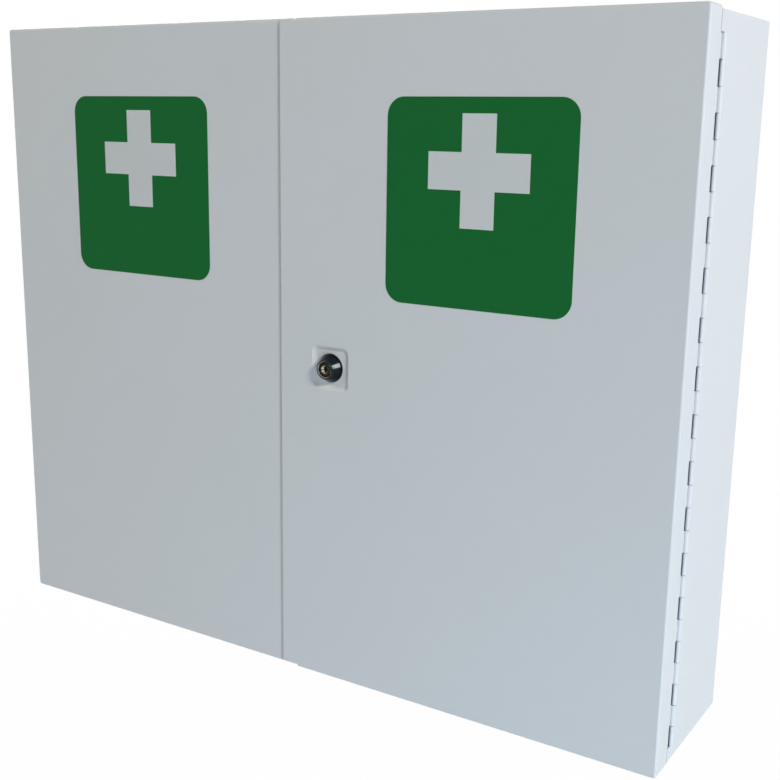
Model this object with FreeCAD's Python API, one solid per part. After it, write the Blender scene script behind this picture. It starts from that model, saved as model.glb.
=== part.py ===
import FreeCAD, Part
import math
import os

# Wall cabinet for first aid supplies, with a lapped pair of doors on continuous hinges.
# Millimetres. X runs to the right as seen from the front, Y runs back to the wall, Z is up.
# The origin lies on the wall face of the back, at the middle of its four wall holes.

# Overall sizes
CABINET_WIDTH = 768.0
CABINET_DEPTH = 160.0
DOOR_HEIGHT = 636.0

# Sheet metal
SHEET = 0.9
BEND_RADIUS = 2.0
CORNER_EASE = 1.0
CUT_OVERRUN = 5.0

# Doors
DOOR_RIM_DEPTH = 26.0
DOOR_OVERHANG = 3.0
DOOR_BODY_GAP = 1.0
DOOR_SEAM_GAP = 2.0
RIM_RETURN = 12.0
MEETING_RETURN = 17.0
RETURN_HINGE_GAP = 6.0
LAP_WIDTH = 17.0
LAP_CLEARANCE = 0.5
LAP_END_TRIM = 2.5

# Continuous hinges
KNUCKLE_COUNT = 30
HINGE_TOP_MARGIN = 20.0
HINGE_BOTTOM_MARGIN = 16.0
PIN_DIAMETER = 2.5
PIN_CLEARANCE = 0.05
LEAF_THICKNESS = 0.9
LEAF_WIDTH = 18.0
DOOR_LEAF_REACH = 4.0
KNUCKLE_END_GAP = 0.7
KNUCKLE_RIM_GAP = 5.75
KNUCKLE_SIDE_GAP = 1.0
NOTCH_END_GAP = 0.3

# Body
PANEL_RIM = 12.0
PANEL_CORNER_RELIEF = 8.0
PANEL_LEAF_GAP = 2.0
WALL_HOLE_DIAMETER = 8.0
WALL_HOLE_SPAN_X = 640.0
WALL_HOLE_SPAN_Z = 480.0

# Shelves
SHELF_COUNT = 3
SHELF_APRON = 15.0
SHELF_SETBACK = 18.0
SHELF_END_GAP = 3.0
SHELF_BACK_GAP = 1.0
CLEAT_LEG = 14.0
CLEAT_SHEET = 1.2
CLEAT_END_GAP = 3.0

# Lock recess
LOCK_INSET = 40.0
LOCK_DROP = 1.0
RECESS_SHIFT = 1.0
RECESS_WIDTH = 42.0
RECESS_FLOOR = 34.0
RECESS_DEPTH = 2.5
RECESS_CORNER_RADIUS = 6.0
RECESS_FLOOR_RADIUS = 4.0

# Lock
LOCK_HEAD_BASE = 28.0
LOCK_HEAD_FRONT = 18.5
LOCK_HEAD_HEIGHT = 10.0
LOCK_HEAD_EDGE = 0.8
LOCK_RIM_ROUND = 0.8
LOCK_BEVEL_DIAMETER = 16.4
LOCK_BEVEL_DEPTH = 0.8
LOCK_DISH_DIAMETER = 14.6
LOCK_DISH_DEPTH = 1.8
LOCK_BARREL = 18.0
LOCK_FLATS = 16.0
LOCK_HOLE_CLEARANCE = 0.2
PLUG_DIAMETER = 11.0
PLUG_CLEARANCE = 0.05
PLUG_INSET = 0.7
PLUG_RING_GAP = 0.5
PLUG_EDGE = 0.4
KEY_DISH_DIAMETER = 8.4
KEY_DISH_FLOOR = 5.0
KEY_DISH_DEPTH = 1.7
KEYWAY_WIDTH = 1.6
KEYWAY_HEIGHT = 6.4
KEYWAY_DEPTH = 18.0
WASHER_THICKNESS = 0.8
WASHER_DIAMETER = 26.0
NUT_THICKNESS = 4.0
NUT_FLATS = 24.0

# Lock cam
CAM_REAR_GAP = 0.5
CAM_OVERLAP = 12.0
CAM_WIDTH = 16.0
CAM_THICKNESS = 2.0
CAM_END_RADIUS = 6.0
CAM_SQUARE = 6.5
CAM_FIT = 0.1
CAM_END_GAP = 0.2
SCREW_DIAMETER = 4.0
SCREW_LENGTH = 9.0
SCREW_HEAD_DIAMETER = 9.0
SCREW_HEAD_HEIGHT = 2.4
SCREW_BEVEL = 0.8

# Slide bolts of the left door
BOLT_WIDTH = 8.0
BOLT_THICKNESS = 3.0
BOLT_LENGTH = 90.0
BOLT_TIP_RADIUS = 3.0
BOLT_LIP_GAP = 0.6
BOLT_TIP_GAP = 2.0
GUIDE_WALL = 2.5
GUIDE_STRAP = 1.5
GUIDE_HEIGHT = 12.0
GUIDE_END_GAP = 6.0
GUIDE_CLEARANCE = 0.2
GUIDE_ROUND = 1.2
KNOB_DIAMETER = 10.0
KNOB_NECK_DIAMETER = 6.0
KNOB_NECK_LENGTH = 3.0
KNOB_LENGTH = 8.0
KNOB_BEVEL = 1.2

# Turns in degrees
QUARTER_TURN = 90.0
HALF_TURN = 180.0
FULL_TURN = 360.0
HEX_SIDES = 6

# Places worked out from the sizes
half_width = CABINET_WIDTH / 2
half_door = DOOR_HEIGHT / 2
half_body = half_door - DOOR_OVERHANG
half_seam = DOOR_SEAM_GAP / 2
corner_radius = BEND_RADIUS + CORNER_EASE
lap_thickness = 2 * SHEET
right_face_y = -CABINET_DEPTH
left_face_y = right_face_y + lap_thickness + LAP_CLEARANCE
rim_rear_y = right_face_y + DOOR_RIM_DEPTH
body_front_y = rim_rear_y + DOOR_BODY_GAP
door_width = half_width - half_seam

bore_radius = PIN_DIAMETER / 2 + PIN_CLEARANCE
knuckle_radius = bore_radius + LEAF_THICKNESS
leaf_outer_x = half_width - SHEET
leaf_inner_x = leaf_outer_x - LEAF_THICKNESS
hinge_x = leaf_inner_x + knuckle_radius
hinge_y = rim_rear_y + KNUCKLE_RIM_GAP + knuckle_radius
hinge_bottom = -half_door + HINGE_BOTTOM_MARGIN
hinge_top = half_door - HINGE_TOP_MARGIN
knuckle_pitch = (hinge_top - hinge_bottom) / KNUCKLE_COUNT
notch_rear_y = hinge_y + knuckle_radius + KNUCKLE_SIDE_GAP
body_leaf_rear_y = notch_rear_y + LEAF_WIDTH
door_leaf_rear_y = rim_rear_y + DOOR_LEAF_REACH

lock_x = half_seam + LOCK_INSET
lock_seat_y = right_face_y + RECESS_DEPTH
cam_front_y = rim_rear_y + CAM_REAR_GAP
cam_length = lock_x + half_seam + CAM_OVERLAP
barrel_length = cam_front_y - CAM_END_GAP - lock_seat_y
plug_end = barrel_length + CAM_END_GAP

bolt_x = -(half_seam + SHEET + MEETING_RETURN / 2)
bolt_front_y = body_front_y + SHEET + BOLT_LIP_GAP
bolt_rear_y = bolt_front_y + BOLT_THICKNESS
bolt_tip_z = half_body - PANEL_RIM - BOLT_TIP_GAP

shelf_front_y = body_front_y + SHELF_SETBACK
shelf_rear_y = -(SHEET + SHELF_BACK_GAP)
bay_height = 2 * half_body / (SHELF_COUNT + 1)

ORIGIN = FreeCAD.Vector(0, 0, 0)
AXIS_X = FreeCAD.Vector(1, 0, 0)
AXIS_Y = FreeCAD.Vector(0, 1, 0)
AXIS_Z = FreeCAD.Vector(0, 0, 1)
SMALL = 10 * Part.Precision.confusion()


def block(x_limits, y_limits, z_limits):
    """Box between a lower and an upper limit on each axis."""
    low = FreeCAD.Vector(x_limits[0], y_limits[0], z_limits[0])
    high = FreeCAD.Vector(x_limits[1], y_limits[1], z_limits[1])
    size = high - low
    return Part.makeBox(size.x, size.y, size.z, low)


def both_sides(half):
    """Limits that lie evenly about zero."""
    return (-half, half)


def polar(radius, angle):
    """Point on a circle about the Z axis."""
    return FreeCAD.Vector(radius * math.cos(angle), radius * math.sin(angle), 0)


def rounded_rectangle(width, height, radius, level):
    """Rectangle with round corners, centred on the Z axis at the given level."""
    inset = FreeCAD.Vector(width / 2 - radius, height / 2 - radius, 0)
    arcs = []
    for index, signs in enumerate(((1, 1), (-1, 1), (-1, -1), (1, -1))):
        centre = FreeCAD.Vector(signs[0] * inset.x, signs[1] * inset.y, level)
        angles = [math.pi / 4 * (2 * index + step) for step in range(3)]
        arcs.append(Part.Arc(*[centre + polar(radius, angle) for angle in angles]).toShape())
    edges = []
    for index, arc in enumerate(arcs):
        following = arcs[(index + 1) % len(arcs)]
        edges.append(arc)
        edges.append(Part.makeLine(arc.Vertexes[-1].Point, following.Vertexes[0].Point))
    return Part.Wire(edges)


def prism(wire, height):
    """Solid that stands on a flat wire."""
    return Part.Face(wire).extrude(AXIS_Z * height)


def at_level(edge, level):
    """True for an edge that lies flat at the given level."""
    box = edge.BoundBox
    return abs(box.ZMin - level) < SMALL and abs(box.ZMax - level) < SMALL


def round_face_edges(solid, level, radius):
    """Round every edge of the face at the given level."""
    return solid.makeFillet(radius, [edge for edge in solid.Edges if at_level(edge, level)])


def round_folds(solid, level, radius):
    """Round the edges along Y of the face at the given level."""
    folds = [edge for edge in solid.Edges if at_level(edge, level) and edge.BoundBox.XLength < SMALL]
    return solid.makeFillet(radius, folds)


def pan(width, height, depth):
    """Folded pan: its face at level 0, its rim along +Z, open at the far end."""
    outer = prism(rounded_rectangle(width, height, corner_radius, 0), depth)
    outer = round_face_edges(outer, 0, BEND_RADIUS)
    inner_wire = rounded_rectangle(width - 2 * SHEET, height - 2 * SHEET, corner_radius - SHEET, SHEET)
    inner = round_face_edges(prism(inner_wire, depth), SHEET, BEND_RADIUS - SHEET)
    return outer.cut(inner)


def channel(span, leg, length):
    """Folded channel: its web at level 0, its legs along +Z and its length along Y."""
    outer = block(both_sides(span / 2), both_sides(length / 2), (0, leg))
    outer = round_folds(outer, 0, BEND_RADIUS)
    inner = block(both_sides(span / 2 - SHEET), both_sides(length), (SHEET, leg + CUT_OVERRUN))
    return outer.cut(round_folds(inner, SHEET, BEND_RADIUS - SHEET))


def facing_front(shape, x, y, z):
    """Turn +Z to the wall, and put the shape's origin at a place on the cabinet."""
    shape = shape.copy()
    shape.rotate(ORIGIN, AXIS_X, -QUARTER_TURN)
    shape.translate(FreeCAD.Vector(x, y, z))
    return shape


def turned(profile):
    """Solid turned about Z from points of radius and level."""
    points = [FreeCAD.Vector(radius, 0, level) for radius, level in profile]
    return Part.Face(Part.makePolygon(points + points[:1])).revolve(ORIGIN, AXIS_Z, FULL_TURN)


def round_rings(solid, level, radius, ring_radius):
    """Round the circular edge of the given radius at the given level."""
    rings = []
    for edge in solid.Edges:
        if at_level(edge, level) and abs(edge.BoundBox.XLength / 2 - ring_radius) < SMALL:
            rings.append(edge)
    return solid.makeFillet(radius, rings)


def mirrored_x(shape):
    """The same piece for the other side of the cabinet."""
    return shape.mirror(ORIGIN, AXIS_X)


def mirrored_z(shape):
    """The same piece for the other end of the cabinet."""
    return shape.mirror(ORIGIN, AXIS_Z)


def body_shell():
    """Left side, back and right side, folded from one sheet, with hinge notches and wall holes."""
    shell = channel(CABINET_WIDTH, -body_front_y, 2 * half_body)
    shell.rotate(ORIGIN, AXIS_X, QUARTER_TURN)
    notch = block(
        both_sides(half_width + CUT_OVERRUN),
        (body_front_y - CUT_OVERRUN, notch_rear_y),
        (hinge_bottom - NOTCH_END_GAP, hinge_top + NOTCH_END_GAP),
    )
    shell = shell.cut(notch)
    holes = []
    for hole_x in both_sides(WALL_HOLE_SPAN_X / 2):
        for hole_z in both_sides(WALL_HOLE_SPAN_Z / 2):
            centre = FreeCAD.Vector(hole_x, -CUT_OVERRUN, hole_z)
            holes.append(Part.makeCylinder(WALL_HOLE_DIAMETER / 2, 2 * CUT_OVERRUN, centre, AXIS_Y))
    return shell.cut(Part.makeCompound(holes))


def top_panel():
    """Folded tray between the sides, its rim cut away beside the hinges."""
    depth = -body_front_y - SHEET
    panel = pan(2 * leaf_outer_x, depth, PANEL_RIM)
    panel.rotate(ORIGIN, AXIS_X, HALF_TURN)
    panel.translate(FreeCAD.Vector(0, -SHEET - depth / 2, half_body))
    for side in (-1, 1):
        limits = sorted((side * (leaf_outer_x - PANEL_CORNER_RELIEF), side * (leaf_outer_x + CUT_OVERRUN)))
        relief = block(
            limits,
            (body_front_y - CUT_OVERRUN, body_leaf_rear_y + PANEL_LEAF_GAP),
            (half_body - PANEL_RIM - CUT_OVERRUN, half_body - BEND_RADIUS),
        )
        panel = panel.cut(relief)
    return panel


def door_pan(depth):
    """Door pan with inward returns; its meeting edge is on the -X side."""
    shell = pan(door_width, DOOR_HEIGHT, depth)
    inner_x = door_width / 2 - SHEET
    inner_z = half_door - SHEET
    wire = rounded_rectangle(2 * inner_x, 2 * inner_z, corner_radius - SHEET, depth - SHEET)
    returns = prism(wire, SHEET)
    through = (depth - SHEET - CUT_OVERRUN, depth + CUT_OVERRUN)
    opening = block((MEETING_RETURN - inner_x, inner_x), both_sides(inner_z - RIM_RETURN), through)
    hinge_relief = block((inner_x - RETURN_HINGE_GAP, inner_x + CUT_OVERRUN), both_sides(half_door), through)
    return shell.fuse(returns.cut(opening).cut(hinge_relief)).removeSplitter()


def lap_lip():
    """Hemmed lip of the right door: two layers of sheet with a round fold along the free edge."""
    fold_radius = lap_thickness / 2
    fold_x = half_seam - LAP_WIDTH + fold_radius
    front = right_face_y
    base = -half_door + LAP_END_TRIM
    tip = FreeCAD.Vector(fold_x - fold_radius, front + fold_radius, base)
    layers = [
        FreeCAD.Vector(fold_x, front + lap_thickness, base),
        FreeCAD.Vector(half_seam + SHEET, front + lap_thickness, base),
        FreeCAD.Vector(half_seam + SHEET, front + SHEET, base),
        FreeCAD.Vector(half_seam + BEND_RADIUS, front + SHEET, base),
        FreeCAD.Vector(half_seam + BEND_RADIUS, front, base),
        FreeCAD.Vector(fold_x, front, base),
    ]
    fold = Part.Arc(layers[-1], tip, layers[0]).toShape()
    outline = Part.Wire(Part.makePolygon(layers).Edges + [fold])
    return prism(outline, DOOR_HEIGHT - 2 * LAP_END_TRIM)


def lock_recess(grow, start):
    """Tapered square dish in the door; grow and start give its rear face."""
    mouth_side = RECESS_WIDTH + 2 * grow
    floor_side = RECESS_FLOOR + 2 * grow
    mouth = rounded_rectangle(mouth_side, mouth_side, RECESS_CORNER_RADIUS, start)
    floor = rounded_rectangle(floor_side, floor_side, RECESS_FLOOR_RADIUS, start + RECESS_DEPTH)
    return Part.makeLoft([mouth, floor], True, True)


def flatted_barrel(clearance, length):
    """Round bar with two flats, as the lock's barrel and its hole in the door have."""
    bar = Part.makeCylinder(LOCK_BARREL / 2 + clearance, length)
    flats = block(both_sides(LOCK_FLATS / 2 + clearance), both_sides(LOCK_BARREL), (0, length))
    return bar.common(flats)


def right_door_panel():
    """Active door: pan, pressed lock recess and the lip that laps over the left door."""
    panel = door_pan(DOOR_RIM_DEPTH)
    slope = math.atan2(RECESS_DEPTH, (RECESS_WIDTH - RECESS_FLOOR) / 2)
    pressed = lock_recess(SHEET * math.tan(slope / 2), SHEET)
    hole = flatted_barrel(LOCK_HOLE_CLEARANCE, DOOR_RIM_DEPTH)
    hole_place = FreeCAD.Vector(LOCK_INSET - door_width / 2, LOCK_DROP, 0)
    recess_place = hole_place + AXIS_X * RECESS_SHIFT
    panel = panel.fuse(pressed.translated(recess_place))
    panel = panel.cut(lock_recess(0, 0).translated(recess_place)).cut(hole.translated(hole_place))
    panel = facing_front(panel, half_seam + door_width / 2, right_face_y, 0)
    return panel.fuse(lap_lip()).removeSplitter()


def left_door_panel():
    """Passive door: a pan whose face is set back to lie under the lip."""
    panel = facing_front(door_pan(rim_rear_y - left_face_y), half_seam + door_width / 2, left_face_y, 0)
    return mirrored_x(panel)


def knuckle_outline(edge_y, away):
    """Rolled end of a leaf, seen along the pin; away is the side of the pin where the leaf lies."""
    lip_reach = math.sqrt(knuckle_radius ** 2 - bore_radius ** 2)
    start = FreeCAD.Vector(leaf_inner_x, edge_y, 0)
    tangent = FreeCAD.Vector(leaf_inner_x, hinge_y, 0)
    crest = FreeCAD.Vector(hinge_x + knuckle_radius, hinge_y, 0)
    lip = FreeCAD.Vector(leaf_outer_x, hinge_y + away * lip_reach, 0)
    end = FreeCAD.Vector(leaf_outer_x, edge_y, 0)
    edges = [
        Part.makeLine(start, tangent),
        Part.Arc(tangent, crest, lip).toShape(),
        Part.makeLine(lip, end),
        Part.makeLine(end, start),
    ]
    return Part.Wire(edges)


def hinge_leaf(edge_y, away, first):
    """Right-hand leaf: a plate along the hinge, with every second knuckle rolled on its edge."""
    plate_y = sorted((edge_y, edge_y + away * LEAF_WIDTH))
    plate = block((leaf_inner_x, leaf_outer_x), plate_y, (hinge_bottom, hinge_top))
    length = knuckle_pitch - KNUCKLE_END_GAP
    knuckle = prism(knuckle_outline(edge_y, away), length)
    knuckle = knuckle.cut(Part.makeCylinder(bore_radius, length, FreeCAD.Vector(hinge_x, hinge_y, 0)))
    knuckles = []
    for index in range(first, KNUCKLE_COUNT, 2):
        base = hinge_bottom + index * knuckle_pitch + KNUCKLE_END_GAP / 2
        knuckles.append(knuckle.translated(AXIS_Z * base))
    return plate.multiFuse(knuckles).removeSplitter()


def body_leaf():
    """Leaf on the inner face of the body's side."""
    return hinge_leaf(notch_rear_y, 1, 0)


def door_leaf():
    """Leaf on the inner face of the door's rim."""
    return hinge_leaf(door_leaf_rear_y, -1, 1)


def hinge_pin():
    """Wire that runs the whole length of the hinge."""
    foot = FreeCAD.Vector(hinge_x, hinge_y, hinge_bottom)
    return Part.makeCylinder(PIN_DIAMETER / 2, hinge_top - hinge_bottom, foot)


def shelf(level):
    """Folded shelf with a front and a rear apron; level is the top of its deck."""
    deck = channel(shelf_rear_y - shelf_front_y, SHELF_APRON, 2 * (leaf_outer_x - SHELF_END_GAP))
    deck.rotate(ORIGIN, AXIS_X + AXIS_Y, HALF_TURN)
    deck.translate(FreeCAD.Vector(0, (shelf_front_y + shelf_rear_y) / 2, level))
    return deck


def shelf_cleat(level):
    """Angle on the right side that carries the end of a shelf."""
    top = level - SHEET
    along = (body_leaf_rear_y + CLEAT_END_GAP, shelf_rear_y - SHEET - CLEAT_END_GAP)
    angle = block((leaf_outer_x - CLEAT_LEG, leaf_outer_x), along, (top - CLEAT_LEG, top))
    inside = block(
        (leaf_outer_x - CLEAT_LEG - CUT_OVERRUN, leaf_outer_x - CLEAT_SHEET),
        (along[0] - CUT_OVERRUN, along[1] + CUT_OVERRUN),
        (top - CLEAT_LEG - CUT_OVERRUN, top - CLEAT_SHEET),
    )
    return angle.cut(inside)


def shelf_levels():
    """Heights of the shelves, from the lowest up."""
    return [-half_body + bay_height * (index + 1) for index in range(SHELF_COUNT)]


def shelf_cleats():
    """All the cleats, a pair under each shelf."""
    right = [shelf_cleat(level) for level in shelf_levels()]
    return Part.makeCompound(right + [mirrored_x(cleat) for cleat in right])


def at_lock(shape):
    """Put a lock piece, made with its seat at level 0, into the door."""
    return facing_front(shape, lock_x, lock_seat_y, -LOCK_DROP)


def lock_body():
    """Cone head with a bevelled dish in its front, and the flatted barrel behind it."""
    front = -LOCK_HEAD_HEIGHT
    dish_floor = front + LOCK_DISH_DEPTH
    plug_bore = PLUG_DIAMETER / 2 + PLUG_CLEARANCE
    head = turned([
        (plug_bore, 0),
        (LOCK_HEAD_BASE / 2, 0),
        (LOCK_HEAD_BASE / 2, -LOCK_HEAD_EDGE),
        (LOCK_HEAD_FRONT / 2, front),
        (LOCK_BEVEL_DIAMETER / 2, front),
        (LOCK_DISH_DIAMETER / 2, front + LOCK_BEVEL_DEPTH),
        (LOCK_DISH_DIAMETER / 2, dish_floor),
        (plug_bore, dish_floor),
    ])
    head = round_rings(head, front, LOCK_RIM_ROUND, LOCK_HEAD_FRONT / 2)
    barrel = flatted_barrel(0, barrel_length).cut(Part.makeCylinder(plug_bore, barrel_length))
    return at_lock(head.fuse(barrel).removeSplitter())


def lock_plug():
    """Turning core: disc with a dished key slot, shaft in the barrel and a square end for the cam."""
    front = PLUG_INSET - LOCK_HEAD_HEIGHT
    shoulder = LOCK_DISH_DEPTH - LOCK_HEAD_HEIGHT - PLUG_CLEARANCE
    disc = LOCK_DISH_DIAMETER / 2 - PLUG_RING_GAP
    core = turned([
        (0, front + KEY_DISH_DEPTH),
        (KEY_DISH_FLOOR / 2, front + KEY_DISH_DEPTH),
        (KEY_DISH_DIAMETER / 2, front),
        (disc - PLUG_EDGE, front),
        (disc, front + PLUG_EDGE),
        (disc, shoulder),
        (PLUG_DIAMETER / 2, shoulder),
        (PLUG_DIAMETER / 2, plug_end),
        (0, plug_end),
    ])
    square = both_sides(CAM_SQUARE / 2)
    core = core.fuse(block(square, square, (plug_end, plug_end + CAM_THICKNESS - CAM_FIT)))
    keyway = block(
        both_sides(KEYWAY_WIDTH / 2),
        both_sides(KEYWAY_HEIGHT / 2),
        (front - CUT_OVERRUN, front + KEYWAY_DEPTH),
    )
    screw_base = FreeCAD.Vector(0, 0, plug_end + CAM_THICKNESS - SCREW_LENGTH - CAM_FIT)
    screw_hole = Part.makeCylinder(SCREW_DIAMETER / 2 + CAM_FIT, SCREW_LENGTH + CUT_OVERRUN, screw_base)
    return at_lock(core.cut(keyway).cut(screw_hole))


def lock_washer():
    """Flat ring between the door and the nut."""
    ring = Part.makeCylinder(WASHER_DIAMETER / 2, WASHER_THICKNESS)
    ring = ring.cut(Part.makeCylinder(LOCK_BARREL / 2 + LOCK_HOLE_CLEARANCE, WASHER_THICKNESS))
    return at_lock(ring.translated(AXIS_Z * SHEET))


def lock_nut():
    """Six-sided nut on the barrel."""
    corner = NUT_FLATS / 2 / math.cos(math.pi / HEX_SIDES)
    points = [polar(corner, 2 * math.pi / HEX_SIDES * index) for index in range(HEX_SIDES)]
    nut = prism(Part.makePolygon(points + points[:1]), NUT_THICKNESS)
    nut = nut.cut(Part.makeCylinder(LOCK_BARREL / 2 + PLUG_CLEARANCE, NUT_THICKNESS))
    return at_lock(nut.translated(AXIS_Z * (SHEET + WASHER_THICKNESS)))


def lock_cam():
    """Flat arm on the plug's square end; it hangs down when the lock is open."""
    reach = cam_length + CAM_WIDTH / 2
    arm = prism(rounded_rectangle(CAM_WIDTH, reach, CAM_END_RADIUS, plug_end), CAM_THICKNESS)
    arm.translate(AXIS_Y * (reach / 2 - CAM_WIDTH / 2))
    square = both_sides(CAM_SQUARE / 2 + CAM_FIT)
    return at_lock(arm.cut(block(square, square, (0, plug_end + CUT_OVERRUN))))


def cam_screw():
    """Pan head screw that clamps the cam on the plug."""
    seat = plug_end + CAM_THICKNESS
    crown = seat + SCREW_HEAD_HEIGHT
    screw = turned([
        (0, seat - SCREW_LENGTH),
        (SCREW_DIAMETER / 2, seat - SCREW_LENGTH),
        (SCREW_DIAMETER / 2, seat),
        (SCREW_HEAD_DIAMETER / 2, seat),
        (SCREW_HEAD_DIAMETER / 2, crown - SCREW_BEVEL),
        (SCREW_HEAD_DIAMETER / 2 - SCREW_BEVEL, crown),
        (0, crown),
    ])
    return at_lock(screw)


def top_bolt():
    """Flat bar with a rounded tip that slides up behind the body's top rim."""
    across = (bolt_x - BOLT_WIDTH / 2, bolt_x + BOLT_WIDTH / 2)
    bar = block(across, (bolt_front_y, bolt_rear_y), (bolt_tip_z - BOLT_LENGTH, bolt_tip_z))
    corners = [
        edge for edge in bar.Edges
        if edge.BoundBox.XLength < SMALL and edge.BoundBox.ZLength < SMALL and edge.BoundBox.ZMin > 0
        and edge.CenterOfMass.z > bolt_tip_z - BOLT_TIP_RADIUS
    ]
    return bar.makeFillet(BOLT_TIP_RADIUS, corners)


def guide_levels():
    """Heights of the two guides that hold a bolt."""
    inset = GUIDE_END_GAP + GUIDE_HEIGHT / 2
    return (bolt_tip_z - inset, bolt_tip_z - BOLT_LENGTH + inset)


def bolt_guide(level):
    """Bridge on the left door's return, with a slot for the bolt."""
    width = BOLT_WIDTH + 2 * GUIDE_WALL
    across = (bolt_x - width / 2, bolt_x + width / 2)
    height = (level - GUIDE_HEIGHT / 2, level + GUIDE_HEIGHT / 2)
    strap_y = bolt_rear_y + GUIDE_STRAP
    bridge = block(across, (rim_rear_y, strap_y), height)
    crown = [
        edge for edge in bridge.Edges
        if edge.BoundBox.XLength < SMALL and edge.BoundBox.YLength < SMALL
        and abs(edge.CenterOfMass.y - strap_y) < SMALL
    ]
    bridge = bridge.makeFillet(GUIDE_ROUND, crown)
    slot = block(
        (bolt_x - BOLT_WIDTH / 2 - GUIDE_CLEARANCE, bolt_x + BOLT_WIDTH / 2 + GUIDE_CLEARANCE),
        (bolt_front_y - GUIDE_CLEARANCE, bolt_rear_y + GUIDE_CLEARANCE),
        (height[0] - CUT_OVERRUN, height[1] + CUT_OVERRUN),
    )
    return bridge.cut(slot)


def top_guides():
    """The two guides of the top bolt."""
    return Part.makeCompound([bolt_guide(level) for level in guide_levels()])


def top_knob():
    """Turned knob on the rear face of the top bolt, midway between its guides."""
    knob = turned([
        (0, 0),
        (KNOB_NECK_DIAMETER / 2, 0),
        (KNOB_NECK_DIAMETER / 2, KNOB_NECK_LENGTH),
        (KNOB_DIAMETER / 2, KNOB_NECK_LENGTH),
        (KNOB_DIAMETER / 2, KNOB_LENGTH - KNOB_BEVEL),
        (KNOB_DIAMETER / 2 - KNOB_BEVEL, KNOB_LENGTH),
        (0, KNOB_LENGTH),
    ])
    return facing_front(knob, bolt_x, bolt_rear_y, sum(guide_levels()) / 2)


def build():
    """Every piece of the cabinet by name."""
    lower, middle, upper = [shelf(level) for level in shelf_levels()]
    return {
        "body_shell": body_shell(),
        "top_panel": top_panel(),
        "bottom_panel": mirrored_z(top_panel()),
        "upper_shelf": upper,
        "middle_shelf": middle,
        "lower_shelf": lower,
        "shelf_cleats": shelf_cleats(),
        "right_hinge_body_leaf": body_leaf(),
        "left_hinge_body_leaf": mirrored_x(body_leaf()),
        "right_hinge_door_leaf": door_leaf(),
        "left_hinge_door_leaf": mirrored_x(door_leaf()),
        "right_hinge_pin": hinge_pin(),
        "left_hinge_pin": mirrored_x(hinge_pin()),
        "right_door_panel": right_door_panel(),
        "left_door_panel": left_door_panel(),
        "lock_body": lock_body(),
        "lock_washer": lock_washer(),
        "lock_nut": lock_nut(),
        "lock_plug": lock_plug(),
        "lock_cam": lock_cam(),
        "cam_screw": cam_screw(),
        "top_bolt": top_bolt(),
        "top_bolt_knob": top_knob(),
        "top_bolt_guides": top_guides(),
        "bottom_bolt": mirrored_z(top_bolt()),
        "bottom_bolt_knob": mirrored_z(top_knob()),
        "bottom_bolt_guides": mirrored_z(top_guides()),
    }


os.makedirs("parts", exist_ok=True)
for name, shape in build().items():
    shape.exportStep(os.path.join("parts", name + ".step"))
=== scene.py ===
import logging
import math
from contextlib import contextmanager
from dataclasses import dataclass, field
from enum import Enum
from typing import Any, Callable, Iterator, Mapping, Optional, Sequence, Union

import bmesh
import bpy
from mathutils import Matrix, Vector

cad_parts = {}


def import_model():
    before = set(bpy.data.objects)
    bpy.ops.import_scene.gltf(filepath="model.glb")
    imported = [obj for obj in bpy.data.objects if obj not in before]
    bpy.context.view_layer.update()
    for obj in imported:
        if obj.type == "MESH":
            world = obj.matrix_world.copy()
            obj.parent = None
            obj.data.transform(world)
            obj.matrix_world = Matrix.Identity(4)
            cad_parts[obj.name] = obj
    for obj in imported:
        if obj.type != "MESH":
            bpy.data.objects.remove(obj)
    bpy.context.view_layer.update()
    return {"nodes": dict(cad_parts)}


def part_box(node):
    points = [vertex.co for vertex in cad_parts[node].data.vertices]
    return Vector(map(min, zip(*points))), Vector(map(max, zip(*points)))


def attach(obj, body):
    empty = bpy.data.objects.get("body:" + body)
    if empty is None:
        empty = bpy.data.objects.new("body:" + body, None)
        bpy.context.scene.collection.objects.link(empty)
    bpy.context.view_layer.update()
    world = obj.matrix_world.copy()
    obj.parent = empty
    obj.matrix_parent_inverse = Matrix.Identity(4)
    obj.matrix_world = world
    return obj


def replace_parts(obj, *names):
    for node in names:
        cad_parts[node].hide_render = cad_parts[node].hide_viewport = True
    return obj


LOG = logging.getLogger("first_aid_cabinet")

Colour = tuple[float, float, float]
Point = tuple[float, float, float]
Pair = tuple[float, float]
Operand = Union["Signal", float, int]

NOISE_MEAN = 0.5
FACING_FRONT: Point = (math.pi / 2, 0.0, 0.0)
FACING_REAR: Point = (-math.pi / 2, 0.0, 0.0)


class Body(Enum):
    """The moving bodies of the cabinet, as the record names them."""

    RIGHT_DOOR = "right_door"
    LEFT_DOOR = "left_door"
    LOCK_CORE = "lock_core"
    TOP_BOLT = "top_slide_bolt"
    BOTTOM_BOLT = "bottom_slide_bolt"


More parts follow.
